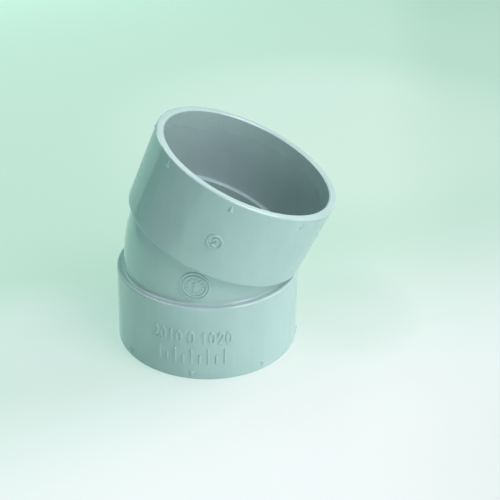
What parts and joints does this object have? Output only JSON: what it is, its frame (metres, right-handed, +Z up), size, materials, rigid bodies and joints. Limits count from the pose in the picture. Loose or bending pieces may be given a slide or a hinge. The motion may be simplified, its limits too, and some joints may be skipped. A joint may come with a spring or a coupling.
{
  "type": "pipe elbow",
  "caption": "Gently bent plastic pipe elbow with a plain solvent-weld socket at each end, a narrower waist between them, and raised alignment marks round both mouths.",
  "frame": {"origin": "centre of the lower socket's mouth, on the surface that the elbow stands on", "axes": "+Z up the axis of the lower socket, +X the way the upper socket leans, and the raised scale, dial and cavity number face -Y"},
  "size_m": [0.1145, 0.0988, 0.1203],
  "materials": {
    "grey_pvc": "semi-gloss moulded rigid PVC, cool grey"
  },
  "bodies": {
    "root": {"lower_socket": "grey_pvc", "bend_body": "grey_pvc", "upper_socket": "grey_pvc", "lower_alignment_marks": "grey_pvc", "upper_alignment_marks": "grey_pvc", "scale_long_ticks": "grey_pvc", "scale_short_ticks": "grey_pvc", "scale_numbers": "grey_pvc", "date_dial": "grey_pvc", "cavity_mark": "grey_pvc", "gate_scar": "grey_pvc"}
  },
  "joints": []
}
